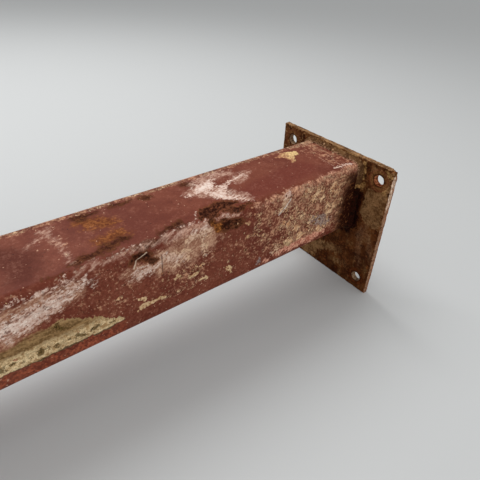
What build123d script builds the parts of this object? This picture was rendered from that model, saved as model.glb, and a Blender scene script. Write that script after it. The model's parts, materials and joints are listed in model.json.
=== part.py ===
# Steel box section: a square hollow section with a square end plate welded across one end,
# four bolt holes in the plate's corners, and the other end sawn off square.
#
# The member lies unheld on a level floor. It rests on two edges: the plate's lower edge and the
# lower edge of the sawn end, so the whole member slopes down a little towards the sawn end.
#
# Millimetres. +X runs along the member towards the end plate, +Z is up, and the origin is on the
# floor under the middle of the member's box.

import os
from math import asin, atan2, cos, hypot, sin, sqrt

from build123d import *

os.makedirs("parts", exist_ok=True)

# Square hollow section, cold formed from strip and seam welded along its length.
section_side = 150.0
section_wall = 6.3
bore_corner_radius = 7.7
section_length = 3000.0

# Bead of flash that the seam weld leaves inside, along the middle of the lower wall.
seam_flash_width = 6.0
seam_flash_height = 1.2

# End plate. The section is centred across it, and sits high on it.
plate_width = 300.0
plate_height = 300.0
plate_thickness = 12.0
plate_below_section = 138.0
plate_edge_radius = 1.0

# Bolt holes, one in each corner of the plate.
hole_diameter = 22.0
hole_edge_distance = 30.0

# Fillet weld all round the section, on the plate's inner face.
weld_leg = 8.0
weld_crown = 1.0

# Sizes that follow from the ones above.
section_corner_radius = bore_corner_radius + section_wall
section_middle_height = plate_below_section + section_side / 2
bore_side = section_side - 2 * section_wall
hole_pitch_across = plate_width - 2 * hole_edge_distance
hole_pitch_up = plate_height - 2 * hole_edge_distance

# Slope at rest: the floor touches the plate's rounded lower edge and the far lower edge of the
# section. Both are measured from the centre of that rounding.
rise_to_section = plate_below_section - plate_edge_radius
run_to_sawn_end = section_length + plate_edge_radius
slope = atan2(rise_to_section, run_to_sawn_end)
slope += asin(plate_edge_radius / hypot(run_to_sawn_end, rise_to_section))

# How far the member's box reaches from the foot of the plate, each way along the floor.
section_top = plate_below_section + section_side
reach_to_sawn_end = section_length * cos(slope) + section_top * sin(slope)
reach_past_plate = (plate_thickness - plate_edge_radius) * cos(slope)
reach_past_plate += plate_edge_radius * (1 - sin(slope))
foot = Vector(
    (reach_to_sawn_end - reach_past_plate) / 2,
    0,
    plate_edge_radius * (1 - cos(slope) - sin(slope)),
)

# The plane of the joint between plate and section: its x runs across the plate, its y up the
# plate, and its z down the length of the section.
joint_plane = Plane(origin=foot, x_dir=(0, -1, 0), z_dir=(-cos(slope), 0, -sin(slope)))

# End plate, behind the joint plane.
with BuildPart() as end_plate:
    with BuildSketch(joint_plane):
        with Locations((0, plate_height / 2)):
            Rectangle(plate_width, plate_height)
            with GridLocations(hole_pitch_across, hole_pitch_up, 2, 2):
                Circle(hole_diameter / 2, mode=Mode.SUBTRACT)
    extrude(amount=-plate_thickness)
    fillet(end_plate.edges().filter_by(GeomType.LINE), plate_edge_radius)
end_plate.part.label = "end_plate"

# Hollow section, from the plate to the sawn end, with the seam's flash on the inside.
with BuildPart() as box_section:
    with BuildSketch(joint_plane):
        with Locations((0, section_middle_height)):
            RectangleRounded(section_side, section_side, section_corner_radius)
            RectangleRounded(bore_side, bore_side, bore_corner_radius, mode=Mode.SUBTRACT)
        with Locations((0, plate_below_section + section_wall)):
            Ellipse(seam_flash_width / 2, seam_flash_height)
    extrude(amount=section_length)
box_section.part.label = "box_section"

# Line of the weld's root: the outline of the section on the joint plane.
with BuildSketch(joint_plane) as root_outline:
    with Locations((0, section_middle_height)):
        RectangleRounded(section_side, section_side, section_corner_radius)
weld_root = root_outline.sketch.face().outer_wire()

# Across the weld's run: x along the section's face, y out over the plate.
bead_plane = Plane(origin=weld_root @ 0, x_dir=joint_plane.z_dir, z_dir=weld_root % 0)
face_middle = weld_leg / 2 + weld_crown / sqrt(2)

# Fillet weld: a three-sided bead with a slightly convex face, swept round the section.
with BuildPart() as fillet_weld:
    with BuildSketch(bead_plane):
        with BuildLine():
            Line((0, 0), (weld_leg, 0))
            ThreePointArc((weld_leg, 0), (face_middle, face_middle), (0, weld_leg))
            Line((0, weld_leg), (0, 0))
        make_face()
    sweep(path=weld_root)
fillet_weld.part.label = "fillet_weld"

for piece in (end_plate, box_section, fillet_weld):
    export_step(piece.part, f"parts/{piece.part.label}.step")
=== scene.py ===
import functools
import json
import math
import random

import bmesh
import bpy
import numpy as np
from mathutils import Matrix, Vector, noise


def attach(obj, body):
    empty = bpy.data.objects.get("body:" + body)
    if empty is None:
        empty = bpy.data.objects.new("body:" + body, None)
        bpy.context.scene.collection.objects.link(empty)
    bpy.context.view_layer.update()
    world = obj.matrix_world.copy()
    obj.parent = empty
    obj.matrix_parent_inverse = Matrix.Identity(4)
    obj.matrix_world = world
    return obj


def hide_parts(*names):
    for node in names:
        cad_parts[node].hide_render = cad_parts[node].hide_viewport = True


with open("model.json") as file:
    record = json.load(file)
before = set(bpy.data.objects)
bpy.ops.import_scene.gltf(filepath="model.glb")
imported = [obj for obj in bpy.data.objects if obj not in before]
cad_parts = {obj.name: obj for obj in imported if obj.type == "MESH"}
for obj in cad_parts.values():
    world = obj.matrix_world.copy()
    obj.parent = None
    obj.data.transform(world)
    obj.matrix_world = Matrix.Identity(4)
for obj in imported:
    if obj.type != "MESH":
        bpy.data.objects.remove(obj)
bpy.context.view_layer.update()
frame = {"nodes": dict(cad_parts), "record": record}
noise.seed_set(1)  # or the swirl in the marks' edges would differ each run

# The member's own axes: a runs out through the plate, y across, w up the plate, from the plate's foot.
# Everything is laid out in millimetres on these axes, and put in its place on the floor at the end.
bolts = next(m for m in frame["record"]["mounts"] if m["name"] == "end_plate_bolts")
alongOut = Vector(bolts["axis"])
upPlate = Vector((-alongOut.z, 0, alongOut.x))
plateThickness, halfPlate, holeOffset = 12.0, 150.0, 120.0
foot = Vector(bolts["pos_m"]) - plateThickness / 1000 * alongOut - halfPlate / 1000 * upPlate
slope = math.atan2(alongOut.z, alongOut.x)
onFloor = Matrix.Translation(foot) @ Matrix.Rotation(-slope, 4, "Y") @ Matrix.Scale(0.001, 4)


class Wire:  # what comes out of one socket, with the sums that can be done on it
    def __init__(self, desk, socket):
        self.desk, self.socket = desk, socket

    def sum(self, operation, *values):
        return self.desk.node("ShaderNodeMath", {"operation": operation}, list(values))

    def __add__(self, other):
        return self.sum("ADD", self, other)

    def __sub__(self, other):
        return self.sum("SUBTRACT", self, other)

    def __rsub__(self, other):
        return self.sum("SUBTRACT", other, self)

    def __mul__(self, other):
        return self.sum("MULTIPLY", self, other)

    def __truediv__(self, other):
        return self.sum("DIVIDE", self, other)

    def __neg__(self):
        return self.sum("MULTIPLY", self, -1.0)

    __radd__ = __add__
    __rmul__ = __mul__

    def size(self):
        return self.sum("ABSOLUTE", self)

    def least(self, other):
        return self.sum("MINIMUM", self, other)

    def most(self, other):
        return self.sum("MAXIMUM", self, other)

    def rise(self, low, high):  # 0 below low, 1 above high, eased between
        return self.desk.node("ShaderNodeMapRange", {"interpolation_type": "SMOOTHSTEP"},
                              {"Value": self, "From Min": low, "From Max": high})


class Desk:  # one node tree, shader or geometry
    def __init__(self, tree):
        self.tree = tree

    def node(self, kind, settings=None, sockets=None, out=0):
        made = self.tree.nodes.new(kind)
        for name, value in (settings or {}).items():
            setattr(made, name, value)
        items = sockets.items() if isinstance(sockets, dict) else enumerate(sockets or [])
        for key, value in items:
            if isinstance(key, str):
                key = [s.identifier for s in made.inputs].index(key)
            if isinstance(value, Wire):
                self.tree.links.new(value.socket, made.inputs[key])
            elif value is not None:
                made.inputs[key].default_value = value
        if isinstance(out, str):
            out = [s.identifier for s in made.outputs].index(out)
        return Wire(self, made.outputs[out]) if len(made.outputs) else made

    def vector(self, operation, sockets, out="Vector"):
        return self.node("ShaderNodeVectorMath", {"operation": operation}, sockets, out)


def emptied(owner):  # the node tree of a material or a world, with nothing in it
    owner.use_nodes = True
    owner.node_tree.nodes.clear()
    return owner.node_tree


def linked(name, data):
    made = bpy.data.objects.new(name, data)
    bpy.context.scene.collection.objects.link(made)
    return made


def seen(red, green, blue):  # a colour as the screen shows it, 0 to 255
    parts = [c / 255 for c in (red, green, blue)]
    return tuple(c / 12.92 if c <= 0.04045 else ((c + 0.055) / 1.055) ** 2.4 for c in parts) + (1.0,)


class Finish(Desk):  # a material laid out on the member's own axes, in millimetres
    def __init__(self, name, soft=0.6):
        self.material = bpy.data.materials.new(name)
        self.soft = soft  # how softly two colours run into each other
        super().__init__(emptied(self.material))
        here = self.node("ShaderNodeTexCoord", out="Object")
        self.place = self.node("ShaderNodeMapping", {"vector_type": "TEXTURE"},
                               {"Vector": here, "Location": foot, "Rotation": (0, -slope, 0),
                                "Scale": (0.001, 0.001, 0.001)})
        self.along = self.part("X")
        self.across = self.part("Y")
        self.up = self.part("Z")

    def part(self, axis):
        return self.node("ShaderNodeSeparateXYZ", None, [self.place], out=axis)

    def grain(self, size, seed=0, detail=2.0, roughness=0.5, at=None):  # noise, mostly from -1 to 1
        made = self.node("ShaderNodeTexNoise", {"noise_dimensions": "4D"},
                         {"Vector": at or self.place, "W": seed * 3.7, "Scale": 1 / size,
                          "Detail": detail, "Roughness": roughness})
        return made * 4.0 - 2.0

    def stretched(self, along, across, up):  # the member's axes, drawn out to make streaks
        return self.node("ShaderNodeMapping", None,
                         {"Vector": self.place, "Scale": (1 / along, 1 / across, 1 / up)})

    def turned(self, drawn, turn):  # the member's axes turned and drawn out, for scratches across a face
        return self.node("ShaderNodeMapping", {"vector_type": "TEXTURE"},
                         {"Vector": self.place, "Rotation": turn, "Scale": drawn})

    def mark(self, name):  # how far inside a mark this point is, in mm
        return self.node("ShaderNodeAttribute", {"attribute_name": name}, out="Fac")

    def mix(self, mask, under, over):  # a colour is a wire, or three numbers as the screen shows them
        under, over = (seen(*c) if isinstance(c, tuple) else c for c in (under, over))
        return self.node("ShaderNodeMix", {"data_type": "RGBA"},
                         {"Factor_Float": mask, "A_Color": under, "B_Color": over}, out="Result_Color")

    def either(self, noise, under, over):
        return self.mix(noise.rise(-self.soft, self.soft), under, over)

    def coat(self, mask, over):  # lays one more colour over what is there
        self.colour = self.mix(mask, self.colour, over)

    def within(self, name, soft=2.0, rough=1.0):
        return (self.mark(name) + self.ragged * rough).rise(-soft, soft)

    def number(self, mask, under, over):
        return self.node("ShaderNodeMix", None, {"Factor_Float": mask, "A_Float": under, "B_Float": over})

    def shade(self, colour, amount):  # lightens or darkens a colour by a share
        return self.vector("SCALE", {"Vector": colour, "Scale": amount + 1.0})

    def scratch(self, start, end, width, face):  # mm inside a straight scratch, seen square to a face
        start, run = Vector(start), Vector(end) - Vector(start)
        gone = self.vector("SUBTRACT", [self.vector("MULTIPLY", [self.place, face]), start])
        share = self.vector("DOT_PRODUCT", [gone, run / run.length_squared], "Value").most(0.0).least(1.0)
        nearest = self.vector("SCALE", {"Vector": tuple(run), "Scale": share})
        return width / 2 - self.vector("DISTANCE", [gone, nearest], "Value")

    def scratches(self, *each):  # the nearest of several
        return functools.reduce(Wire.most, [self.scratch(*one) for one in each])

    def tick(self, grit, speck):  # a tick of tan dirt that lies over the plate and the weld
        line = self.scratch((0, -72, 238), (0, -88, 246), 8, (0, 1, 1))
        return (line + grit * 3 + speck * 2).rise(-1, 1)

    def finished(self, roughness, relief, gloss=0.0):  # gloss is a thin coat where paint is whole
        bump = self.node("ShaderNodeBump", None,
                         {"Strength": 1.0, "Distance": 0.001, "Height": relief}, out="Normal")
        shader = self.node("ShaderNodeBsdfPrincipled", None,
                           {"Base Color": self.colour, "Roughness": roughness, "Normal": bump,
                            "Coat Weight": gloss, "Coat Roughness": 0.38, "Specular IOR Level": 0.05},
                           out="BSDF")
        self.node("ShaderNodeOutputMaterial", None, [shader])
        return self.material


class Shape(Desk):  # a geometry tree with named inputs, turned into a plain mesh
    def __init__(self, name, inputs):
        super().__init__(bpy.data.node_groups.new(name, "GeometryNodeTree"))
        kinds = {int: "NodeSocketInt", float: "NodeSocketFloat"}
        self.values = inputs
        face = self.tree.interface
        face.new_socket(name="Surface", in_out="INPUT", socket_type="NodeSocketGeometry")
        self.keys = {}
        for key, value in inputs.items():
            kind = kinds.get(type(value), "NodeSocketMaterial")
            self.keys[key] = face.new_socket(name=key, in_out="INPUT", socket_type=kind).identifier
        face.new_socket(name="Geometry", in_out="OUTPUT", socket_type="NodeSocketGeometry")
        self.source = self.tree.nodes.new("NodeGroupInput")

    def given(self, key):
        return Wire(self, self.source.outputs[key])

    def point(self, x, y, z=0.0):
        return self.node("ShaderNodeCombineXYZ", None, [x, y, z])

    def run(self, count, start, end):  # a straight run of points
        return self.node("GeometryNodeMeshLine", {"mode": "END_POINTS"},
                         {"Count": count, "Start Location": start, "Offset": end})

    def joined(self, parts):
        made = self.tree.nodes.new("GeometryNodeJoinGeometry")
        for part in reversed(parts):
            self.tree.links.new(part.socket, made.inputs[0])
        return Wire(self, made.outputs[0])

    def loop(self, runs):  # runs that meet end to end, as one closed curve
        merged = self.node("GeometryNodeMergeByDistance", None,
                           {"Geometry": self.joined(runs), "Distance": 0.01})
        return self.node("GeometryNodeMeshToCurve", None, [merged])

    def outline(self):  # rounded square that the section's outer face follows
        square = self.node("GeometryNodeCurvePrimitiveQuadrilateral", None,
                           {"Width": self.given("Side"), "Height": self.given("Side")})
        rounded = self.node("GeometryNodeFilletCurve", {"mode": "POLY"},
                            {"Curve": square, "Count": 12, "Radius": self.given("Corner radius")})
        return self.node("GeometryNodeResampleCurve", None,
                         {"Curve": rounded, "Count": self.given("Points round")})

    def stood(self, geometry):  # from the outline's plane to the member's own axes
        return self.node("GeometryNodeTransform", None,
                         {"Geometry": geometry, "Rotation": (math.pi / 2, 0, math.pi / 2),
                          "Translation": self.point(0.0, 0.0, self.given("Middle height"))})

    def mesh(self, geometry, surface=None):
        smooth = self.node("GeometryNodeSetShadeSmooth", None, {"Geometry": geometry})
        real = self.node("GeometryNodeRealizeInstances", None, [smooth])
        dressed = self.node("GeometryNodeSetMaterial", None,
                            {"Geometry": real, "Material": self.given("Finish")})
        self.node("NodeGroupOutput", None, [dressed])
        carrier = linked("carrier", surface or bpy.data.meshes.new("carrier"))
        modifier = carrier.modifiers.new("shape", "NODES")
        modifier.node_group = self.tree
        for key, value in self.values.items():
            modifier[self.keys[key]] = value
        graph = bpy.context.evaluated_depsgraph_get()
        mesh = bpy.data.meshes.new_from_object(carrier.evaluated_get(graph))
        carrier.modifiers.remove(modifier)
        bpy.data.objects.remove(carrier)
        return mesh


def read(items, key):
    values = np.empty(len(items) * 3, dtype=np.float32)
    items.foreach_get(key, values)
    return values.reshape(-1, 3).astype(float)


def points(mesh):
    return read(mesh.vertices, "co")


def facing(mesh):
    return read(mesh.vertex_normals, "vector")


def moved(mesh, at):
    mesh.vertices.foreach_set("co", at.astype(np.float32).ravel())
    mesh.update()


def store(mesh, name, values):
    mesh.attributes.new(name, "FLOAT", "POINT").data.foreach_set("value", values.astype(np.float32))


def lumps(at, size, seed=0, octaves=3):  # soft noise about zero at each point, on lumps of this size
    start = Vector((seed * 17.3, seed * 5.1, seed * -11.7))
    return np.array([noise.fractal(Vector(p) / size + start, 0.9, 2.0, octaves) for p in at])


def swirl(at, *turns):  # moves the edges of marks about, by (size of a turn, how far) for each
    return np.array([sum((noise.noise_vector(Vector(p) / size) * far for size, far in turns), Vector())
                     for p in at])


def eased(values, low, high):
    t = np.clip((values - low) / (high - low), 0, 1)
    return t * t * (3 - 2 * t)


markReach = 30.0  # mm from a mark's edge, past which nothing reads it


def inside(flat, strokes):  # mm inside the nearest stroke; a stroke is points (x, y, radius)
    best = np.full(len(flat), -markReach)
    for stroke in strokes:
        for start, end in zip(stroke, stroke[1:] if len(stroke) > 1 else stroke):
            run = np.array(end[:2]) - np.array(start[:2])
            length = max(float(run @ run), 1e-6)
            share = np.clip(((flat - np.array(start[:2])) @ run) / length, 0, 1)
            off = np.linalg.norm(flat - np.array(start[:2]) - share[:, None] * run, axis=1)
            best = np.maximum(best, start[2] + share * (end[2] - start[2]) - off)
    return np.clip(best, -markReach, markReach)


def placed(name, mesh, node=None):  # sets a piece in its place and tells the frame what it is
    mesh.transform(onFloor)
    moved(mesh, np.maximum(points(mesh), (-9, -9, 0)))  # no lump reaches below the floor
    mesh.name = name
    piece = linked(name, mesh)
    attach(piece, "root")
    if node:
        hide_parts(node)
    print(name, "placed with", sum(len(p.vertices) - 2 for p in mesh.polygons), "triangles")


section = {
    "side": 150.0, "wall": 6.3, "cornerRadius": 14.0, "length": 3000.0, "middleHeight": 213.0,
    "faceGirth": 144.0, "cornerRun": 22.0,  # mm round the outline: a face with one corner, a corner
    "flashWidth": 6.0, "flashHeight": 1.2, "closeLength": 730.0, "closeCell": 2.8, "farCell": 16.0,
    "pointsRound": 200, "innerRows": 60, "shownLength": 760.0, "shownGirth": 290.0,
    "waviness": 0.35, "mudThickness": 3.4, "pitDepth": 1.6, "gougeDepth": 2.6, "crustThickness": 0.5,
}

# Marks that the photograph shows, as strokes of (mm from the plate, mm round the outline, half width).
# Round the outline, the top face is 0 to 122, the corner to 144, and the near side to 266.
sectionMarks = {
    "chalk": [
        [(212, 240, 2), (204, 258, 2)], [(222, 251, 3), (214, 256, 4)],
        [(54, 119, 2), (38, 121, 3), (18, 124, 2)],
        [(320, 46, 11), (304, 43, 17), (292, 36, 11)], [(308, 62, 9), (300, 84, 8)],
        [(296, 90, 6), (277, 102, 5), (268, 118, 3)],
        [(300, 84, 7), (286, 66, 10), (272, 54, 6), (246, 46, 2)],
        [(246, 46, 4), (221, 40, 4)], [(346, 51, 4), (342, 49, 3)], [(279, 28, 3), (272, 14, 1)],
        [(370, 116, 1), (358, 102, 0)], [(292, 92, 3), (276, 99, 4), (267, 112, 2)],
        [(680, 178, 14), (644, 176, 17), (612, 170, 15), (588, 162, 12), (564, 152, 8)],
        [(652, 143, 2), (612, 143, 2.5), (586, 150, 3)], [(556, 148, 3), (546, 158, 3)],
        [(582, 137, 4), (574, 136, 2)],
        [(490, 172, 5), (470, 175, 10), (450, 171, 6)],
        [(438, 160, 6), (420, 174, 12), (404, 174, 9), (402, 190, 3)],
        [(372, 158, 4), (369, 178, 3), (367, 190, 2)], [(396, 148, 8), (358, 145, 8)],
        [(556, 126, -2), (440, 127, -2), (372, 125, 0), (350, 124, 1)], [(186, 139, 4), (197, 143, 6)],
        [(189, 148, 6), (196, 156, 4), (209, 170, 2)],
        [(352, 131, 1), (330, 134, 2), (312, 134, 1)],
    ],
    "haze": [
        [(328, 44, 12), (304, 60, 22), (272, 104, 14)], [(240, 50, 12), (212, 38, 8)],
        [(312, 22, 8), (284, 15, 13), (256, 14, 13), (240, 22, 9)],
        [(664, 176, 26), (574, 158, 16)], [(494, 168, 9), (424, 172, 26), (352, 158, 20)],
        [(410, 138, 12), (350, 148, 18)], [(568, 20, 6), (562, 60, 1), (560, 112, 1)],
        [(596, 46, 1), (566, 24, 3)],
        [(190, 152, 12)], [(560, 132, 2), (470, 132, 3), (300, 134, 5)],
    ],
    "cream": [
        [(121, 20, 3), (99, 20, 6), (82, 21, 7)], [(80, 24, 8), (92, 36, 7)], [(97, 42, 5), (107, 53, 2)],
        [(115, 22, 4), (106, 34, 5), (100, 43, 4)],
    ],
    "orange": [
        [(522, 26, 6), (508, 36, 11), (494, 46, 11), (480, 54, 6)],
        [(512, 88, 8), (496, 92, 11), (480, 90, 9)],
        [(348, 142, 6), (338, 151, 8)],
    ],
    "stain": [
        [(526, 8, 4), (512, 15, 9), (498, 13, 5)], [(464, 9, 2), (446, 13, 5), (430, 10, 1)],
        [(412, 13, 3), (402, 18, 5)], [(330, 13, 5), (318, 22, 5)],
        [(566, 119, 2), (540, 115, 6), (516, 110, 8)], [(508, 106, 7), (480, 103, 6)],
        [(432, 122, 3), (414, 117, 7), (396, 114, 4)], [(285, 75, 2), (277, 71, 3)],
        [(604, 127, -2), (520, 128, -1), (384, 127, 0)],
        [(472, 134, 2), (456, 132, 4), (434, 131, 2)], [(404, 122, 3), (386, 123, 2)],
    ],
    "pit": [
        [(362, 117, 6), (343, 107, 12), (308, 107, 13), (290, 110, 8)], [(352, 121, 5), (336, 125, 4)],
        [(320, 122, 5), (298, 128, 9), (274, 128, 6)],
        [(350, 137, 8), (335, 148, 13), (313, 152, 11), (293, 154, 6)],
        [(488, 151, 6), (478, 145, 9), (466, 151, 11), (455, 162, 6)],
    ],
    "mud": [
        [(800, 236, 10), (730, 226, 22), (640, 225, 26), (600, 224, 27), (578, 229, 22), (557, 234, 17),
         (537, 241, 10), (516, 244, 4)],
        [(483, 239, 4), (444, 238, 5)], [(422, 213, 5), (416, 211, 4)], [(396, 222, 4), (380, 218, 6)],
        [(376, 239, 4), (366, 240, 3)], [(322, 236, 6), (317, 250, 5)], [(484, 222, 5), (478, 226, 4)],
        [(249, 209, 2)], [(192, 246, 4), (178, 247, 3)],
    ],
    "hollow": [
        [(634, 233, 4), (629, 238, 2)], [(603, 205, 4), (598, 213, 3)], [(562, 234, 2), (551, 238, 2)],
        [(594, 235, 3)], [(617, 237, 1), (607, 235, 2)], [(647, 237, 2)], [(575, 227, 1)],
        [(670, 234, 4)], [(700, 238, 6)],
    ],
    "salmon": [[(243, 262, 2), (228, 262, 3)], [(214, 258, 5), (150, 256, 9), (88, 254, 7)]],
    "grey": [[(128, 212, 6), (100, 222, 12), (76, 236, 7)], [(252, 257, 4)],
             [(286, 74, 5), (280, 82, 3)]],
    # worn: rubbed paint along the rounded corner, lightened also as a painted highlight along the ridge.
    "worn": [[(262, 138, 3), (180, 136, 6), (60, 136, 8), (14, 134, 9)], [(400, 134, 4), (300, 137, 3)]],
    # grime: dark dirt at the joint with the plate, with painted shade in the corner between section and
    # plate.
    "grime": [[(10, 160, 13), (12, 200, 24), (12, 262, 24)], [(24, 150, 4)]],
    "clean": [[(245, 98, 22), (190, 95, 27), (110, 84, 26)]],
    # deep: darker paint over the far end of the top face, a painted shade where less light falls there.
    "deep": [[(660, 40, 30), (612, 70, 22), (620, 100, 20)]],
}

# Where tan dust lies thicker in flecks: a stroke as above, and how much of the surface more it covers.
sectionDust = [
    ([(190, 200, 9), (170, 214, 13), (152, 208, 8)], 0.1), ([(240, 209, 5), (226, 208, 5)], 0.12),
    ([(114, 160, 10), (102, 172, 8)], 0.1), ([(220, 240, 3), (130, 242, 3), (70, 242, 4)], 0.16),
    ([(70, 190, 18), (60, 150, 14)], 0.08), ([(440, 210, 9), (260, 180, 9)], 0.06),
    ([(590, 30, 12), (555, 60, 14)], 0.06),
    ([(540, 205, 8), (500, 222, 8)], 0.08), ([(410, 213, 10), (380, 222, 12)], 0.12),
    ([(188, 246, 6), (176, 248, 4)], 0.2), ([(470, 238, 5), (380, 240, 6)], 0.1),
    ([(40, 20, 20), (44, 110, 14)], 0.06),
    ([(562, 50, 6), (560, 116, 6)], 0.12), ([(400, 180, 16), (290, 172, 16)], -0.07),
]

# Where crumbs of dirt lie: strokes, and how thick they lie inside them.
sectionHeaps = [
    ([[(700, 244, 2), (520, 245, 2)], [(230, 242, 3), (60, 242, 5)]], 0.6),
    ([[(480, 236, 4), (310, 240, 8)], [(430, 212, 8), (376, 220, 8)]], 0.4),
]

# Straight scratches: runs of (start, end, width), 0 for the top face or 1 for the near side, how much
# specks break them, the two ends of their soft edge, their strength and their colour.
sectionScratches = [
    ([((-62, -58, 0), (-44, -60, 0), 2.6)], 0, 1.2, -0.9, 0.5, 0.8, (228, 200, 180)),
    ([((-50, -8, 0), (-55, -56, 0), 1.4), ((-26, -6, 0), (-40, -52, 0), 1.0)],
     0, 1.6, -0.7, 0.8, 0.7, (190, 148, 126)),
    ([((-486, 0, 257), (-480, 0, 268), 3.4), ((-480, 0, 268), (-464, 0, 275), 2.8)],
     1, 0.5, -0.3, 0.5, 0.85, (214, 188, 164)),
    ([((-186, 0, 270), (-198, 0, 257), 3.0), ((-198, 0, 258), (-211, 0, 246), 1.6)],
     1, 1.4, -0.4, 0.4, 0.85, (238, 220, 206)),
    ([((-443, 0, 222), (-442, 0, 262), 1.8)], 1, 0.9, -0.8, 0.5, 0.7, (66, 34, 26)),
]

# Calmer marks of the same kinds on the faces and the length that the photograph doesn't show.
hiddenMarks = {"chalk": (20, 2, 9), "haze": (24, 4, 15), "orange": (16, 4, 12), "stain": (30, 3, 12),
               "pit": (12, 3, 8), "mud": (16, 2, 8), "clean": (14, 14, 34), "grey": (8, 4, 9)}


def seeded(name):  # strokes of one kind of mark, the same each run
    count, least, most = hiddenMarks[name]
    dice = random.Random("box section " + name)
    strokes = []
    while len(strokes) < count:
        u, g = dice.uniform(20, section["length"] - 40), dice.uniform(0, 4 * section["faceGirth"])
        if u < section["shownLength"] and g < section["shownGirth"]:  # the photograph shows this part
            continue
        radius = dice.uniform(least, most)
        stroke = [(u, g, radius * 0.5)]
        for bend in range(dice.randint(2, 4)):  # wanders down the member, mostly along it
            u, g = u - dice.uniform(0.8, 3.2) * radius, g + dice.uniform(-1.2, 1.2) * radius
            stroke.append((u, g, radius * dice.uniform(0.3, 1.0)))
        strokes.append(stroke)
    return strokes


def sectionMesh(finish):
    size = section
    shape = Shape("hollowSection", {
        "Side": size["side"], "Wall": size["wall"], "Corner radius": size["cornerRadius"],
        "Length": size["length"], "Close length": size["closeLength"],
        "Middle height": size["middleHeight"],
        "Close rows": round(size["closeLength"] / size["closeCell"]) + 1,
        "Far rows": round((size["length"] - size["closeLength"]) / size["farCell"]) + 1,
        "Inner rows": size["innerRows"], "Points round": size["pointsRound"],
        "Flash width": size["flashWidth"], "Flash height": size["flashHeight"], "Finish": finish})
    wall, length, close = -shape.given("Wall"), shape.given("Length"), shape.given("Close length")
    profile = shape.loop([  # cut through one wall: x out from the outer face, y down the section
        shape.run(shape.given("Close rows"), (0, 0, 0), shape.point(0.0, close)),
        shape.run(shape.given("Far rows"), shape.point(0.0, close), shape.point(0.0, length)),
        shape.run(4, shape.point(0.0, length), shape.point(wall, length)),
        shape.run(shape.given("Inner rows"), shape.point(wall, length), shape.point(wall, 0.0)),
        shape.run(3, shape.point(wall, 0.0), (0, 0, 0))])
    walls = shape.node("GeometryNodeCurveToMesh", None,
                       {"Curve": shape.outline(), "Profile Curve": profile})
    down = -length
    low = shape.given("Wall") - shape.given("Side") / 2  # inner face of the lower wall
    line = shape.node("GeometryNodeCurvePrimitiveLine", None,
                      {"Start": shape.point(0.0, low, down), "End": shape.point(0.0, low, 0.0)})
    bead = shape.node("GeometryNodeCurvePrimitiveCircle", None, {"Resolution": 10, "Radius": 1.0})
    flat = shape.point(shape.given("Flash width") / 2, shape.given("Flash height"), 1.0)
    bead = shape.node("GeometryNodeTransform", None, {"Geometry": bead, "Scale": flat})
    flash = shape.node("GeometryNodeCurveToMesh", None, {
        "Curve": shape.node("GeometryNodeResampleCurve", None, {"Curve": line, "Count": 61}),
        "Profile Curve": bead, "Fill Caps": True})
    return shape.mesh(shape.stood(shape.joined([walls, flash])))


def girth(at):  # mm round the outline, from the far edge of the top face over the near side
    flat, radius = section["side"] / 2 - section["cornerRadius"], section["cornerRadius"]
    y, w = at[:, 1], at[:, 2] - section["middleHeight"]
    turns = [(-y, w), (-w, -y), (y, -w), (w, y)]  # each face: run along it, height over it
    result, each = np.zeros(len(at)), section["faceGirth"]
    for number, (run, height) in enumerate(turns):
        on = (np.abs(run) <= flat) & (height > flat)
        result[on] = (each * number + flat + run)[on]
        on = (run > flat) & (height > flat)
        result[on] = (each * number + 2 * flat + radius * np.arctan2(run - flat, height - flat))[on]
    whole = 4 * each
    return np.where(result > whole - section["cornerRun"] / 2, result - whole, result)


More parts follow.
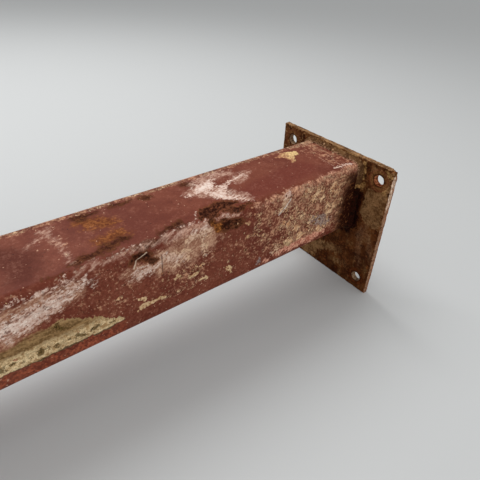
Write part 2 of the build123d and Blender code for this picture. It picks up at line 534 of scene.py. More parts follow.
def workSection(mesh):  # relief of the dirt and damage, and the marks that the finish reads
    at, normal = points(mesh), facing(mesh)
    y, w = at[:, 1], at[:, 2] - section["middleHeight"]
    flat = section["side"] / 2 - section["cornerRadius"]
    beyond = np.hypot(np.maximum(np.abs(y) - flat, 0), np.maximum(np.abs(w) - flat, 0))
    outer = beyond > section["cornerRadius"] - 0.5
    u, g = -at[:, 0], girth(at)
    flatPlace = np.stack([u, g], 1) + swirl(at, (14, 5), (5, 2.5))[:, :2]
    deep = {}
    for name, strokes in sectionMarks.items():
        every = strokes + (seeded(name) if name in hiddenMarks else [])
        deep[name] = np.where(outer, inside(flatPlace, every), -markReach)
        store(mesh, name, deep[name])
    fine, middle = lumps(at, 5, 1, 2), lumps(at, 16, 2)
    topFace, sideFace = (g > -12) & (g <= 128), (g > 128) & (g < 277)
    top = 0.11 + 0.22 * eased(-u, -85, -15) + 0.3 * eased(-g, -14, -2) + 0.06 * middle
    dust = np.where(topFace, top, 0.12 + 0.08 * middle)
    side = 0.24 + 0.2 * eased(-u, -350, -110) - 0.18 * eased(g, 247, 254) * eased(u, 30, 70)
    dust = np.where(sideFace, side + 0.05 * middle, dust)
    for stroke, extra in sectionDust:
        dust += np.where(outer, extra * eased(inside(flatPlace, [stroke]), -9, 5), 0)
    store(mesh, "dust", np.where(outer, dust, 0.05))
    store(mesh, "girth", g)
    heap = np.where(sideFace & (g < 248), 0.08 + 0.5 * eased(-u, -340, -80), 0)
    heap += np.where(topFace, 0.3 * eased(-u, -40, -8), 0)
    for strokes, most in sectionHeaps:
        heap += most * eased(inside(flatPlace, strokes), -5, 4)
    heap += 0.4 * eased(inside(flatPlace, seeded("mud")), -8, 2) * (u < 2900)
    patches = eased(lumps(at, 26, 11), -0.1, 0.35) * eased(lumps(at, 9, 13), -0.2, 0.3)
    heap *= patches * (deep["grime"] < 0)
    store(mesh, "heap", np.where(outer, heap, 0))
    push = section["waviness"] * lumps(at, 130, 3, 2)
    shelf = eased(g + 3 * middle, 204, 244) * (1 - eased(g + 2 * fine, 245, 252))  # thick at its foot
    band = np.where((u > 500) & (g > 190) & (g < 262), 0.25 + 0.75 * shelf, 0.35)
    uneven = 0.85 + 0.5 * middle + 0.35 * fine
    push += section["mudThickness"] * eased(deep["mud"] + 3 * fine, -1, 4) * band * uneven
    push -= 0.6 * section["mudThickness"] * eased(deep["hollow"], -1, 3)
    push -= section["pitDepth"] * eased(deep["pit"] + 4 * fine, -1, 5) * (1 + 0.6 * fine)
    push += section["crustThickness"] * eased(deep["chalk"] + 5 * fine, 0, 6) * (0.6 + fine)
    push += 0.4 * section["crustThickness"] * eased(deep["cream"], -1, 3)
    nearPlate = eased(-u, -330, -30) * eased(g, 138, 150) * (1 - eased(g, 262, 276))
    push += 0.7 * nearPlate * eased(fine + 0.4 * middle, 0.05, 0.5)
    gouge = inside(np.stack([u, g], 1), [[(486, 161, 2), (478, 152, 5), (464, 152, 6), (455, 160, 3)]])
    push -= section["gougeDepth"] * eased(gouge, -2, 5)
    lip = inside(np.stack([u, g], 1), [[(489, 165, 1), (484, 152, 1.5), (470, 143, 1.5)]])
    push += 0.9 * eased(lip, -3, 1)
    push *= outer * eased(section["length"] - u, 0, 12)
    moved(mesh, at + normal * push[:, None])
    mesh.set_sharp_from_angle(angle=math.radians(50))


def primedSteel():
    f = Finish("redOxidePrimer")
    fine, speck, grit = f.grain(2.2, 1, 1), f.grain(4.2, 2, 2, 0.7), f.grain(8, 3, 3, 0.75)
    patchy, cloud = f.grain(20, 4, 4, 0.75), f.grain(80, 5, 3)
    ragged = patchy * 5.0 + grit * 5.0 + speck * 3.0  # breaks the edges of marks, in mm
    brushSlant, dustSlant = (0.0, -0.28, 0.34), (0.0, -0.42, 0.46)  # of brush strokes and of thrown dust
    brushed = f.grain(1, 10, 4, 0.8, at=f.turned((26, 4.2, 4.2), brushSlant))
    girth, dust = f.mark("girth"), f.mark("dust")
    sideFace = girth.rise(136, 146)
    calm = sideFace * f.along.rise(-510, -450)  # the scrubbed strokes are softer here
    brushed = brushed * (1 - calm * 0.5) + calm * (patchy * 0.6 - 0.05)
    f.ragged, within, either = ragged, f.within, f.either
    chalkDepth, hazeDepth, grimeAndShadeDepth = f.mark("chalk"), f.mark("haze"), f.mark("grime")

    f.colour = either(cloud + patchy * 0.6, (108, 51, 37), (124, 65, 48))
    f.coat(within("clean", 10, 1.2), (114, 53, 40))
    # Darker red over the far end of the top face: painted shade.
    f.coat(within("deep", 16, 1.6) * 0.9, (88, 34, 18))
    f.coat((patchy * 0.6 + speck * 0.6).rise(-0.1, 1.2) * 0.4, (166, 116, 98))
    f.coat((grit * 0.8 + fine * 0.7 - 0.15).rise(0, 0.5) * (sideFace * 0.35 + 0.25), (64, 28, 19))
    low = girth.rise(249, 252) * girth.rise(290, 280) * f.along.rise(-500, -530)
    f.coat(low * (speck + grit).rise(-0.5, 0.7), (150, 78, 54))
    # Rubbed paint along the corner between top and near side, with a painted highlight along that ridge.
    f.coat(within("worn", 5, 0.4) * 0.85,
           either(grit * 0.6 + speck + fine, (156, 102, 80), (222, 168, 140)))
    f.coat(within("salmon", 3) * 0.9, either(grit + speck, (172, 92, 70), (230, 170, 144)))
    rusty = (f.mark("orange") + ragged * 1.6 + 2).rise(-10, 8) * 0.75
    f.coat(rusty, either(grit * 0.8 + speck * 0.8, (96, 50, 24), (152, 94, 50)))
    stained = (f.mark("stain") + ragged * 1.3 + 2.5).rise(-5, 4) * 0.87
    f.coat(stained, either(grit + speck * 0.8, (40, 17, 7), (94, 55, 34)))
    f.colour = f.shade(f.colour, (fine * 0.14 + speck * 0.2 + grit * 0.14) * (sideFace * 0.7 + 0.5))
    drag = f.grain(1, 14, 2, 0.6, at=f.turned((70, 1.8, 1.8), (0.0, -0.16, 0.24)))
    f.coat((drag + dust * 0.8 - 1.0).rise(0, 0.4) * 0.5, (190, 146, 126))
    drag = f.grain(1, 15, 2, 0.6, at=f.turned((34, 1.8, 1.8), (0.1, 0.5, -0.7)))
    f.coat((drag - 1.0).rise(0, 0.4) * 0.5, (58, 28, 20))

    flung = f.turned((1.5, 1, 1), dustSlant)
    flake = f.grain(14, 8, 5, 0.8, at=flung) + speck * 0.3 + fine * 0.2
    gap = (f.grain(12, 20, 4, 0.8, at=flung) + fine * 0.3 - 0.35).rise(0, 0.25)
    laid = flake + dust * 2.2 + f.grain(40, 33, 2) * 0.3 - 1.14  # above 0 where a fleck of dust lies
    specks = laid.rise(0.0, 0.08)
    rim = (laid.rise(-0.45, -0.04) - specks) * dust.rise(0.2, 0.45)  # a painted shadow round each fleck of dust, for relief
    film = patchy * 0.25 + grit * 0.5 + speck * 0.3 + dust * f.number(sideFace, 2.9, 2.6)
    film = (film - 1.0).rise(-0.25, 0.4)
    f.coat(film * (sideFace * 0.25 + 0.55),
           either(speck + grit * 0.7 + fine * 0.5, (160, 102, 76), (238, 182, 144)))
    # Painted shadows round the flecks, and dark gaps in the dust.
    f.coat(rim.most(gap * dust.rise(0.3, 0.48)) * 0.45, (70, 35, 23))
    f.coat(within("grey", 5, 1.6) * 0.6, either(grit + speck * 0.5, (96, 80, 74), (170, 164, 160)))
    tanned = either(f.grain(8, 17, 3, 0.7) + fine * 0.6, (200, 142, 102), (255, 216, 172))
    tanned = f.mix(f.along.rise(-75, -45), tanned,
                   either(patchy + speck, (160, 112, 82), (228, 182, 142)))
    pinkish = either(patchy + fine, (160, 116, 90), (220, 184, 150))
    f.coat(specks * 0.9, f.mix(sideFace, pinkish, tanned))
    f.coat((speck * 0.6 + fine - 0.3).rise(0, 0.3) * specks * sideFace * 0.5, (124, 80, 54))
    pale = (f.grain(4.4, 16, 1) + sideFace * 0.1 - 0.85).rise(0, 0.15)
    f.coat(pale * 0.75, (206, 160, 132))
    dots = (f.grain(3.8, 9, 1) - 0.8).rise(0, 0.15)
    f.coat(dots * 0.6, (52, 24, 16))

    hazeIn = hazeDepth + ragged
    haze = (hazeDepth * 0.06 + patchy * 0.3 + grit * 0.3 + brushed).rise(-0.8, 0.6)
    haze = haze * hazeIn.rise(-10, 4)
    hazy = f.mix(sideFace, either(brushed + speck * 0.7, (160, 116, 98), (224, 186, 166)),
                 either(brushed + speck * 0.7, (160, 112, 88), (222, 178, 148)))
    f.coat(haze * f.number(sideFace, 0.62, 0.78), hazy)
    chalkIn = chalkDepth + patchy * 4 + grit * 4 + speck * 3
    thick = chalkDepth * f.number(sideFace, 0.1, 0.06)
    chalk = (thick + brushed + speck * 0.7 + grit * 0.3 + 0.05).rise(-0.12, 0.25)
    chalk = chalk * chalkIn.rise(-8, -2)
    whiter = chalkDepth * f.number(sideFace, 0.06, 0.04)
    white = either(brushed * 0.6 + speck * 0.6 + whiter - 0.35, (198, 153, 133), (246, 226, 213))
    peach = f.along.rise(-470, -400) * sideFace * (0.9 - chalkDepth * 0.05)
    white = f.mix(peach, white,
                  either(brushed * 0.8 + grit * 0.4 + speck * 0.6, (188, 140, 108), (244, 206, 170)))
    f.coat(chalk * f.number(sideFace, 0.94, 0.8), f.shade(white, fine * 0.08))
    crust = (f.grain(4.6, 19, 3, 0.7, at=f.turned((2.4, 1, 1), dustSlant)) - 0.36).rise(0, 0.1)
    hatched = (f.grain(5, 34, 3, 0.7, at=f.turned((3, 1, 1), brushSlant)) - 0.2).rise(0, 0.2)
    hatched = hatched * (chalkDepth + 6).rise(0, 6) * sideFace
    f.coat(hatched * (0.75 - calm * 0.55), (116, 78, 64))
    crust = crust * (chalkDepth + 4).rise(0, 6) * sideFace * (1 - peach * 0.6)
    f.coat(crust * 0.8, (246, 226, 212))
    cream = (f.mark("cream") + ragged * 0.6 + 1).rise(-1.2, 1.2)
    yellow = either((f.along + 98.0) * 0.05 + grit + speck * 0.8, (180, 128, 94), (224, 190, 134))
    f.coat(cream * 0.93, f.shade(yellow, speck * 0.25 + grit * 0.15))

    mudIn = f.mark("mud") + grit * 3.0 + speck * 2.2
    caked = girth.rise(184, 190) * girth.rise(258, 252)
    caked = caked * f.along.rise(-490, -510) * f.along.rise(-860, -800)  # the smear along the side
    level = girth + patchy * 3 + grit * 2.0
    mudIn = mudIn + (1 - caked) * (patchy * 5 - 1.0)
    thin = caked * f.along.rise(-590, -650) * level.rise(228, 212)  # smeared thin above its left half
    mud = mudIn.rise(-0.6, thin * 9.0 + 0.6)
    bedded = f.grain(1, 18, 4, 0.65, at=f.stretched(46, 7, 5))  # smeared along the section
    olive = either(bedded + speck * 0.7, (108, 80, 48), (164, 130, 88))
    tan = either(bedded * 0.5 + grit * 0.5 + speck * 0.8, (174, 139, 96), (255, 228, 180))
    loose = either(grit + speck, (170, 122, 82), (234, 200, 156))
    # The mud's olive upper part and tan lower part: its own colours, with painted shade on the upper part
    # and painted light on the upward-facing ledge below.
    soil = f.mix(caked, loose, f.mix(level.rise(218, 228), olive, tan))
    # A lighter line along the mud's upper edge: a painted highlight on its crest.
    crestHighlight = mudIn.rise(5.5, 1.5) * caked * f.along.rise(-625, -600) * girth.rise(238, 232)
    soil = f.mix(crestHighlight * 0.6, soil, (182, 150, 106))
    holes = (f.grain(7, 11, 3, 0.7) + f.grain(30, 12, 1) * 0.7 - 0.3).rise(0, 0.15)
    soil = f.mix(holes * level.rise(228, 232) * level.rise(242, 239) * caked * 0.8, soil, (84, 66, 34))
    # Dark soil in the mud's hollows, with painted shade in them.
    hollow = (f.mark("hollow") + grit * 3.0 + speck * 2.4 + 0.5).rise(-0.5, 1.2)
    soil = f.mix(hollow * 0.9, soil, either(speck + fine, (54, 38, 14), (112, 88, 50)))
    soil = f.mix((speck + grit - 0.3).rise(0, 0.2) * level.rise(220, 224) * caked * 0.5, soil,
                 (124, 96, 60))
    # A dark line along the mud's foot: a painted shadow under the ledge of mud.
    foot = level.rise(246, 249) * caked
    soil = f.shade(f.mix(foot * 0.85, soil, (62, 38, 20)), fine * 0.12)
    f.coat(mud, soil)

    pitIn = f.mark("pit") + ragged * 0.7
    pitted = pitIn.rise(-0.8, 1.0)
    streaky = f.grain(1, 13, 4, 0.75, at=f.turned((18, 5, 5), (0.5, 0.3, 0.6)))
    dark = either(streaky * 1.1 + speck * 0.5 - 0.25, (44, 18, 9), (112, 64, 42))
    rust = f.mix((pitIn + patchy * 3).rise(-1, 6), (124, 74, 50), dark)
    rust = f.mix(within("orange", 4, 0.8) * 0.8, rust, either(grit + speck, (88, 42, 16), (172, 106, 50)))
    f.coat(pitted * 0.97, f.shade(rust, speck * 0.4 + fine * 0.2))
    # A dark brown zone round that joint on the near side: dirt, with a painted shadow beside the plate.
    soiledAndShaded = (grimeAndShadeDepth + ragged * 2).rise(-30, -2) * (girth + grit * 4).rise(136, 156)
    f.coat(soiledAndShaded * 0.75, either(grit + speck, (58, 32, 20), (128, 86, 58)))
    # Near-black at the joint with the plate: dirt, with painted shade in the corner where the section
    # meets the plate.
    grime = (grimeAndShadeDepth * 0.08 + patchy * 0.7 + grit * 0.7 + speck * 0.5 - 0.1).rise(-1.2, 0.6)
    f.coat(grime * 0.96, either(grit * 1.2 + speck - 0.7, (42, 11, 3), (124, 74, 42)))

    onTop = girth.rise(134, 130) * girth.rise(-12, -8)
    nearSide = girth.rise(124, 130) * girth.rise(290, 280)
    for runs, face, broken, low, high, strength, colour in sectionScratches:
        lines = f.scratches(*[(*run, (1, 1 - face, face)) for run in runs])
        shown = (lines + speck * broken).rise(low, high) * (nearSide if face else onTop)
        f.coat(shown * strength, colour)

    bare = pitted.most(mud).most(chalk).most(cream).most(rusty).most(stained).most(grime)
    bare = bare.most(specks).most(haze)
    relief = (speck * 0.1 + grit * 0.1 + specks * 0.9 - rim * 0.3 + chalk * (speck * 0.4 + 0.3)
              + mud * (speck + grit) * 0.8 + pitted * (speck + grit + streaky) * 0.5)
    return f.finished(f.number(bare, 0.55, 0.95) + patchy * 0.05, relief, (1 - bare) * 0.06)


sectionSkin = sectionMesh(primedSteel())
workSection(sectionSkin)
print("section shaped")


plate = {
    "width": 2 * halfPlate, "height": 2 * halfPlate, "thickness": plateThickness, "edgeRadius": 1.0,
    "holeRadius": 10.5, "holeInset": halfPlate - holeOffset,
    "voxel": 1.6, "scaleRelief": 0.24, "wear": 0.85,
    "wornCorner": (-150.0, 300.0), "cornerLoss": 5.0, "cornerReach": 16.0, "edgeBand": 1.6,
    "seat": (24.0, 19.0), "washer": 21.0, "rustRing": (15.5, 12.5), "bore": 11.3,  # round each hole
}

# Marks on the plate's inner face, as strokes of (mm across, mm up from the foot, half width).
plateMarks = {
    # black: a dark stain beside the section, with the section's shadow painted onto the plate.
    "blackStainAndShade": [[(-87, 231, 3), (-82, 210, 12), (-78, 182, 15), (-76, 150, 17), (-71, 132, 12)],
              [(-60, 122, 6), (-42, 134, 3)], [(-70, 226, 6), (-80, 224, 7)]],
    "olive": [[(-110, 234, 13), (-112, 186, 15)], [(-132, 238, 14), (-130, 184, 18)],
              [(-144, 266, 4), (-143, 250, 6)],
              [(-8, 288, 5), (-58, 287, 6)], [(-102, 288, 5), (-120, 291, 4)],
              [(70, 14, 18), (30, 18, 20)], [(12, 40, 18), (-24, 58, 13), (-58, 68, 11)],
              [(-58, 34, 6), (-83, 44, 11), (-102, 22, 9)]],
    "drips": [[(-114, 164, 6), (-104, 132, 10), (-112, 98, 7), (-120, 60, 3)],
              [(-118, 150, 4), (-136, 122, 7), (-142, 92, 5)]],
    "ochre": [[(-62, 236, 4), (-75, 242, 5), (-88, 248, 3)], [(-82, 290, 4), (-84, 262, 3)],
              [(-136, 262, 3), (-140, 252, 3)],
              [(-132, 294, 3), (-145, 288, 4)], [(60, 292, 5), (20, 293, 4), (-40, 293, 6)],
              [(-56, 296, 5), (-70, 284, 5)]],
    "brown": [[(-92, 290, 11), (-88, 262, 10)], [(-72, 256, 8), (-68, 282, 8)],
              [(130, 276, 9), (126, 262, 6)], [(-124, 252, 3), (-112, 247, 2)],
              [(-60, 84, 22), (-30, 100, 14)], [(-92, 30, 16), (-80, 60, 14)]],
}


def awayFromPlate(at):  # mm outside the plate's true surface, less than nothing inside it
    radius = plate["edgeRadius"]
    half = np.array([plate["thickness"], plate["width"], plate["height"]]) / 2
    centre = np.array([plate["thickness"] / 2, 0, plate["height"] / 2])
    over = np.abs(at - centre) - half + radius
    box = np.linalg.norm(np.maximum(over, 0), axis=1) + np.minimum(over.max(axis=1), 0) - radius
    pitch = half[1] - plate["holeInset"]
    hole = plate["holeRadius"] - np.hypot(np.abs(at[:, 1]) - pitch, np.abs(at[:, 2] - centre[2]) - pitch)
    return box, hole


def plateMesh(node, finish):
    mesh = node.data.copy()
    mesh.transform(onFloor.inverted())
    welded = bmesh.new()
    welded.from_mesh(mesh)
    bmesh.ops.remove_doubles(welded, verts=welded.verts, dist=0.002)
    welded.to_mesh(mesh)
    welded.free()
    carrier = linked("carrier", mesh)
    remesh = carrier.modifiers.new("even", "REMESH")
    remesh.mode, remesh.voxel_size = "VOXEL", plate["voxel"]
    graph = bpy.context.evaluated_depsgraph_get()
    even = bpy.data.meshes.new_from_object(carrier.evaluated_get(graph))
    bpy.data.objects.remove(carrier)
    even.materials.clear()
    even.materials.append(finish)
    even.shade_smooth()
    return even


def workPlate(mesh):
    at = points(mesh)
    for turn in range(3):  # draws the evened mesh back onto the plate's true faces and holes
        box, hole = awayFromPlate(at)
        nearHole = (np.abs(hole) < 2) & (hole > box - 0.8)
        pitch = plate["width"] / 2 - plate["holeInset"]
        centre = np.stack([at[:, 0], np.sign(at[:, 1]) * pitch,
                           plate["height"] / 2 + np.sign(at[:, 2] - plate["height"] / 2) * pitch], 1)
        out = (at - centre) / np.maximum(np.linalg.norm(at - centre, axis=1), 1e-6)[:, None]
        at = np.where(nearHole[:, None], at + out * hole[:, None], at)
        box, hole = awayFromPlate(at)
        step = np.zeros_like(at)
        for axis in range(3):
            shift = np.zeros(3)
            shift[axis] = 0.05
            step[:, axis] = (awayFromPlate(at + shift)[0] - awayFromPlate(at - shift)[0]) / 0.1
        at = np.where((nearHole | (box < -1.2))[:, None], at, at - step * box[:, None])
    moved(mesh, at)
    normal = facing(mesh)
    inner = normal[:, 0] < -0.5
    flatPlace = at[:, 1:] + swirl(at, (16, 6), (5, 2))[:, 1:]
    for name, strokes in plateMarks.items():
        store(mesh, name, np.where(inner, inside(flatPlace, strokes), -markReach))
    coarse, middle, fine = lumps(at, 60, 4, 2), lumps(at, 12, 5), lumps(at, 4, 6, 2)
    push = plate["scaleRelief"] * (coarse + middle + 0.7 * fine)
    half = np.array([plate["thickness"], plate["width"], plate["height"]]) / 2
    centre = np.array([half[0], 0, half[2]])
    inward = np.sort(half - np.abs(at - centre), axis=1)[:, 1]  # mm from the nearest edge
    worn = eased(0.7 * fine + middle + 0.4 * lumps(at, 30, 7, 2), -0.2, 0.6)
    push -= plate["wear"] * (1 - eased(inward, 0.5, 4)) * worn
    at = at + normal * push[:, None]
    corner = np.hypot(at[:, 1] - plate["wornCorner"][0], at[:, 2] - plate["wornCorner"][1])
    loss = plate["cornerLoss"] * (1 - eased(corner + 3 * middle, 0, plate["cornerReach"]))
    loss *= 1 + 0.5 * fine
    moved(mesh, at + loss[:, None] * np.array([0.0, 0.7, -0.7]))


def rustedSteel():
    f = Finish("rustedPlateSteel", 0.7)
    fine, speck, grit = f.grain(2.2, 21, 1), f.grain(4, 22, 3, 0.7), f.grain(8, 23, 3, 0.7)
    patchy, cloud = f.grain(20, 24, 5, 0.7), f.grain(60, 25, 3)
    ragged = patchy * 5.0 + grit * 4.0 + speck * 2.0
    drawn = f.grain(1, 26, 4, 0.65, at=f.stretched(14, 8, 44))  # faint streaks down the plate
    f.ragged, within, either = ragged, f.within, f.either

    dirt = either(grit + speck, (98, 68, 38), (142, 108, 70))
    f.colour = either(cloud * 0.7 + patchy * 0.8, (62, 27, 8), (104, 60, 28))
    f.coat((drawn + patchy * 0.4).rise(0, 0.9) * 0.5, dirt)
    f.coat((f.grain(30, 27, 5, 0.7) - 0.1).rise(0, 0.7) * 0.6, dirt)
    f.coat((f.grain(24, 32, 5, 0.75) - 0.1).rise(0, 0.35) * 0.7, (42, 18, 8))
    outerFace = f.along.rise(8, 11)
    primer = either(cloud + grit * 0.4, (106, 52, 38), (130, 74, 56))
    painted = (f.grain(38, 28, 5, 0.75) + grit * 0.3 + 0.3).rise(0, 0.25) * outerFace
    f.coat(painted * 0.9, primer)
    f.coat((grit * 0.7 + speck * 0.7 - 0.4).rise(0, 0.3) * 0.6, (142, 76, 34))
    rim = (f.across.size() - halfPlate) / 60.0
    dusted = f.grain(9, 29, 4, 0.8) * 0.8 + speck * 0.5 + (f.up - 60.0) / 380.0 + rim.most(-0.6) * 0.4
    f.coat((dusted - 0.6).rise(0, 0.2) * 0.65, (158, 122, 82))
    f.coat(within("drips", 6) * 0.45, either(drawn + speck * 0.6, (84, 50, 32), (142, 104, 76)))
    low = f.up.rise(130, 100)  # the low patches are streaks that fade into the rust
    olive = (f.mark("olive") + ragged * 0.4 + low * (drawn * 14 + ragged + 1)).rise(-1.3, low * 7 + 1.5)
    f.coat(olive * 0.88, either(grit * 0.6 + patchy * 0.7 + speck * 0.5, (96, 64, 36), (146, 110, 74)))
    f.coat(within("brown", 6, 1.2) * 0.75, either(grit + speck * 0.7, (46, 20, 8), (98, 54, 26)))
    f.coat(within("ochre", 3, 0.9) * 0.85, either(speck + grit * 0.5, (112, 76, 38), (184, 144, 92)))
    sidelong, upright = f.across.size() - holeOffset, (f.up - halfPlate).size() - holeOffset
    square = sidelong * sidelong + upright * upright
    fromHole = square.sum("SQRT", square)
    bolted = f.up.rise(60, 200)  # the upper pair's seats are paler
    seat = f.mix(bolted, either(grit + speck * 0.5, (56, 20, 3), (98, 48, 20)),
                 either(grit + speck * 0.5, (84, 48, 22), (136, 92, 54)))
    f.coat((fromHole + ragged * 0.3).rise(*plate["seat"]) * 0.8, seat)
    washer = (fromHole + ragged * 0.12 - plate["washer"]).size().rise(2.2, 0.5)
    washer = washer * bolted  # where a washer sat
    f.coat(washer * 0.5, (116, 60, 42))
    f.coat((fromHole + ragged * 0.15).rise(*plate["rustRing"]) * 0.7, (54, 21, 7))
    bore = f.mix(bolted * f.across.rise(20, -20), either(grit + speck, (92, 68, 50), (158, 128, 100)),
                 either(grit + speck, (104, 48, 22), (184, 116, 78)))
    f.coat((fromHole - plate["bore"]).rise(0.4, -0.4), bore)
    # Black beside the section: stain and the section's painted shadow.
    f.coat(within("blackStainAndShade", 2.5, 1.5) * 0.98, either(grit + speck, (12, 2, 0), (44, 12, 4)))

    tick = f.tick(grit, speck)
    f.coat(tick * 0.9 * f.along.rise(2, 0), either(speck, (120, 82, 44), (168, 128, 80)))

    drawnUp = f.grain(1, 30, 5, 0.8, at=f.stretched(3, 3, 12))
    # The side edge: worn pale paint with rust, lighter over its upper part as a painted highlight where
    # light catches the edge.
    side = f.mix((f.up + patchy * 12).rise(214, 230),
                 either(drawnUp + speck * 0.4, (112, 74, 52), (182, 142, 112)),
                 either(drawnUp * 1.3 + speck * 0.3, (134, 86, 52), (255, 226, 200)))
    side = f.mix((f.along + grit * 3 + patchy * 3).rise(5.5, 8) * 0.75, side,
                 either(speck + grit, (96, 48, 28), (168, 104, 72)))
    side = f.mix((patchy + grit * 0.5 - 0.3).rise(0, 0.4) * 0.4, side, (168, 98, 56))
    side = f.mix((speck * 0.6 + grit - 0.45).rise(0, 0.2) * 0.8, side, (66, 33, 16))
    sideEdge, upperEdge = halfPlate - plate["edgeBand"], 2 * halfPlate - plate["edgeBand"]
    f.coat((f.across.size() - sideEdge + speck * 0.8).rise(0, 0.8) * 0.95, side)
    drawnAcross = f.grain(1, 31, 4, 0.75, at=f.stretched(4, 18, 4))
    upper = either(drawnAcross + speck * 0.5, (66, 38, 20), (176, 136, 96))
    f.coat((f.up - upperEdge + speck * 0.8).rise(0, 0.8) * 0.92, upper)
    f.colour = f.shade(f.colour, fine * 0.14 + speck * 0.24 + grit * 0.12)
    return f.finished(0.88 + patchy * 0.06, speck * 0.5 + grit * 0.6 + fine * 0.15)


plateSkin = plateMesh(frame["nodes"]["end_plate"], rustedSteel())
workPlate(plateSkin)
placed("endPlate", plateSkin, "end_plate")


weld = {
    "leg": 8.0, "crown": 1.0, "pointsRound": 560,
    "ripplePitch": 3.6, "rippleHeight": 0.22, "lumpHeight": 1.1,
}


def weldMesh(finish):
    shape = Shape("filletBead", {
        "Side": section["side"], "Corner radius": section["cornerRadius"],
        "Middle height": section["middleHeight"],
        "Points round": weld["pointsRound"], "Leg": weld["leg"], "Crown": weld["crown"],
        "Finish": finish})
    leg = shape.given("Leg")
    lift = 1.414  # a handle this many crowns further out lifts the middle of the face by one crown
    swell = leg / 2 + shape.given("Crown") * lift
    face = shape.node("GeometryNodeCurveQuadraticBezier", None, {
        "Resolution": 12, "Start": shape.point(0.0, leg), "Middle": shape.point(swell, swell),
        "End": shape.point(leg, 0.0)})
    bare = shape.node("GeometryNodeCurveToMesh", None, {"Curve": face})
    back = [shape.run(4, shape.point(leg, 0.0), (0, 0, 0)),
            shape.run(4, (0, 0, 0), shape.point(0.0, leg))]
    bead = shape.node("GeometryNodeCurveToMesh", None,
                      {"Curve": shape.outline(), "Profile Curve": shape.loop([bare] + back)})
    return shape.mesh(shape.stood(shape.node("GeometryNodeFlipFaces", None, [bead])))


def workWeld(mesh):
    at, normal = points(mesh), facing(mesh)
    half, middle = section["side"] / 2, section["middleHeight"]
    y, w = at[:, 1], at[:, 2] - middle
    reach = np.maximum(np.abs(y), np.abs(w))
    face = eased(np.minimum(reach - half, -at[:, 0]), 0.3, 1.6)
    onSection = np.stack([at[:, 0], y * half / reach, middle + w * half / reach], 1)
    curl = girth(onSection) + 0.5 * np.abs(-at[:, 0] - weld["leg"] / 2) + 1.5 * lumps(at, 20, 8, 2)
    ripple = np.abs(np.sin(math.pi * curl / weld["ripplePitch"])) - 0.5
    push = weld["rippleHeight"] * ripple + weld["lumpHeight"] * lumps(at, 12, 9, 2)
    push += 0.7 * lumps(at, 3.5, 10, 2)
    moved(mesh, at + normal * (push * face)[:, None])
    store(mesh, "heap", face * 0.4 * eased(at[:, 2], 250, 285) * eased(lumps(at, 14, 12), -0.1, 0.4))


def primedBead():
    f = Finish("primedWeldBead")
    fine, speck, grit = f.grain(2.2, 41, 1), f.grain(4, 42, 3, 0.7), f.grain(8, 43, 3, 0.7)
    patchy = f.grain(20, 44, 4, 0.7)
    f.colour = f.mix((patchy + grit * 0.6).rise(-0.7, 0.7), (76, 48, 28), (122, 88, 56))
    f.coat((grit * 0.7 + speck * 0.7 - 0.2).rise(0, 0.3) * 0.6, (160, 122, 86))
    half = section["side"] / 2
    nearRun = f.across.rise(-half, -half - 2)  # the run down the near side
    # The run down the near side, darkened: dirt with painted shade at the joint.
    f.coat(nearRun * (grit + speck).rise(-0.3, 0.4) * 0.7, (56, 30, 16))
    tan = (f.along + 5.5 + grit * 2).rise(0.5, -2) * f.up.rise(255, 275)  # dust lies along its foot
    tan = tan * (1 - nearRun * 0.6)
    f.coat(tan * (speck + grit).rise(-0.4, 0.6) * 0.8, (190, 146, 118))
    f.coat((speck * 0.8 + patchy * 0.6 - 0.4).rise(0, 0.25) * 0.75, (50, 27, 14))
    # Near black low on the near side, running on from the plate's black: stain with painted shade in the
    # corner.
    low = (247.0 - f.up + patchy * 6 + grit * 4).rise(-6, 6) * (f.across + 60.0).rise(0, -10)
    f.coat(low * 0.97, f.mix((speck + grit).rise(-0.6, 0.6), (18, 4, 1), (44, 14, 6)))
    tick = f.tick(grit, speck)
    f.coat(tick * 0.9, f.mix(speck.rise(-0.5, 0.5), (120, 82, 44), (168, 128, 80)))
    # Darker along the bead's lower run: painted shade under the section.
    under = (140.0 - f.up).rise(-4, 4)
    f.coat(under * 0.6, (60, 34, 20))
    f.colour = f.shade(f.colour, fine * 0.14 + speck * 0.15)
    return f.finished(0.9 + patchy * 0.05, speck * 0.6 + grit * 0.5 + fine * 0.15)


weldSkin = weldMesh(primedBead())
workWeld(weldSkin)

# Crumbs of dried dirt, scattered where the attribute "heap" of a surface is high.
crumbs = {
    "perSquareMm": 0.06, "least": 0.6, "most": 5.0, "thickness": 0.3, "bumpiness": 2.2, "seed": 7,
}


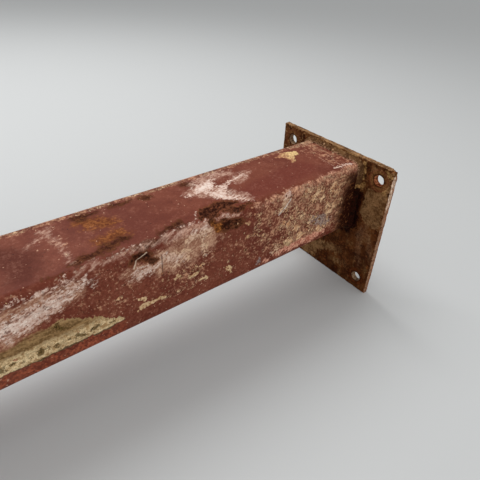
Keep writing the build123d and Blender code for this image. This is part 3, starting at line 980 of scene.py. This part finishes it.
def crumbMesh(surface, finish, seed):
    shape = Shape("dirtCrumbs", {
        "Per square mm": crumbs["perSquareMm"], "Least": crumbs["least"], "Most": crumbs["most"],
        "Thickness": crumbs["thickness"], "Bumpiness": crumbs["bumpiness"], "Seed": seed,
        "Finish": finish})
    heap = shape.node("GeometryNodeInputNamedAttribute", {"data_type": "FLOAT"}, {"Name": "heap"},
                      out="Attribute")

    def dice(least, most, turn):
        return shape.node("FunctionNodeRandomValue", {"data_type": "FLOAT"},
                          {"Min_001": least, "Max_001": most, "Seed": shape.given("Seed") + turn},
                          out="Value_001")

    scatter = {"distribute_method": "RANDOM"}
    sockets = {"Mesh": shape.given("Surface"), "Density": heap * shape.given("Per square mm"),
               "Seed": shape.given("Seed")}
    spots = shape.node("GeometryNodeDistributePointsOnFaces", scatter, sockets, out="Points")
    flat = Wire(shape, spots.socket.node.outputs["Rotation"])
    turn = {"Axis": (0, 0, 1), "Angle": dice(0.0, math.tau, 1)}
    turn = {"Rotation": flat, "Rotate By": shape.node("FunctionNodeAxisAngleToRotation", None, turn)}
    lie = shape.node("FunctionNodeRotateRotation", {"rotation_space": "LOCAL"}, turn)
    share = dice(0.0, 1.0, 2)
    rare = share * share * share  # few of them are large
    size = shape.given("Least") + (shape.given("Most") - shape.given("Least")) * rare
    grown = shape.point(size, size * dice(0.45, 1.0, 3), size * shape.given("Thickness"))
    lump = shape.node("GeometryNodeMeshIcoSphere", None, {"Radius": 1.0, "Subdivisions": 2})
    laid = shape.node("GeometryNodeInstanceOnPoints", None,
                      {"Points": spots, "Instance": lump, "Rotation": lie, "Scale": grown})
    real = shape.node("GeometryNodeRealizeInstances", None, [laid])
    uneven = shape.node("ShaderNodeTexNoise", None, {"Scale": 0.5, "Detail": 1.0}, out="Color")
    off = shape.vector("SUBTRACT", [uneven, (0.5, 0.5, 0.5)])
    off = shape.vector("SCALE", {"Vector": off, "Scale": shape.given("Bumpiness")})
    bumpy = shape.node("GeometryNodeSetPosition", None, {"Geometry": real, "Offset": off})
    return shape.mesh(bumpy, surface)


def driedDirt():
    f = Finish("driedDirt")
    fine, speck = f.grain(1.6, 61, 1), f.grain(3.5, 62, 2)
    grit, patchy = f.grain(9, 63, 3, 0.7), f.grain(26, 64, 3)
    f.colour = f.mix((grit + speck).rise(-0.6, 0.6), (138, 96, 70), (212, 172, 130))
    f.coat((patchy + grit * 0.6).rise(-0.1, 0.5) * 0.7, (176, 114, 88))
    f.coat((f.grain(7, 65, 2) * 1.3 - 0.1).rise(0, 0.3) * 0.85, (86, 50, 32))
    f.colour = f.shade(f.colour, fine * 0.2)
    return f.finished(0.95 + fine * 0.03, fine * 0.3)


dirt = driedDirt()
for name, skin, slot, node in (("boxSection", sectionSkin, "primed_section", "box_section"),
                               ("weldBead", weldSkin, "primed_weld", "fillet_weld")):
    loose = crumbMesh(skin.copy(), dirt, crumbs["seed"])
    placed(name, skin, node)
    placed(name + "Dirt", loose)


stage = {
    "cameraAt": (0.81860, -0.52676, 0.61576), "heading": 50.411, "down": 34.430, "roll": 4.340,
    "lens": 31.666, "sensor": 36,
    "keyAt": (0.9, 2.0, 3.2), "keySize": 2.4, "keyPower": 74.0,
    "fillAt": (-0.6, -3.2, 1.9), "fillSize": 3.0, "fillPower": 38.0,
    "skyLight": 0.52, "floorColour": (206, 208, 208),
}


def softLight(name, at, size, power):
    lamp = bpy.data.lights.new(name, "AREA")
    lamp.shape, lamp.size, lamp.energy = "DISK", size, power
    holder = linked(name, lamp)
    holder.location = at
    holder.rotation_euler = (Vector((0.6, 0, 0.15)) - Vector(at)).to_track_quat("-Z", "Y").to_euler()


camera = linked("camera", bpy.data.cameras.new("camera"))
heading, down = math.radians(stage["heading"]), math.radians(stage["down"])
ahead = Vector((math.cos(down) * math.cos(heading), math.cos(down) * math.sin(heading), -math.sin(down)))
aimed = ahead.to_track_quat("-Z", "Y").to_matrix().to_4x4()
tilted = Matrix.Rotation(math.radians(stage["roll"]), 4, "Z")
camera.matrix_world = Matrix.Translation(stage["cameraAt"]) @ aimed @ tilted
camera.data.lens, camera.data.sensor_width = stage["lens"], stage["sensor"]
bpy.context.scene.camera = camera

softLight("keyLight", stage["keyAt"], stage["keySize"], stage["keyPower"])
softLight("fillLight", stage["fillAt"], stage["fillSize"], stage["fillPower"])

world = bpy.data.worlds.new("studio")
sky = Desk(emptied(world))
sky.node("ShaderNodeOutputWorld", None, [
    sky.node("ShaderNodeBackground", None, {"Color": (1, 1, 1, 1), "Strength": stage["skyLight"]})])
bpy.context.scene.world = world

floorMesh = bpy.data.meshes.new("floor")
floorMesh.from_pydata([(-60, -60, 0), (60, -60, 0), (60, 60, 0), (-60, 60, 0)], [], [(0, 1, 2, 3)])
floor = linked("floor", floorMesh)
paleFloor = bpy.data.materials.new("paleFloor")
ground = Desk(emptied(paleFloor))
ground.node("ShaderNodeOutputMaterial", None, [ground.node(
    "ShaderNodeBsdfPrincipled", None, {"Base Color": seen(*stage["floorColour"]), "Roughness": 0.85},
    out="BSDF")])
floorMesh.materials.append(paleFloor)
bpy.context.scene.view_settings.view_transform = "Standard"
print("stage set")
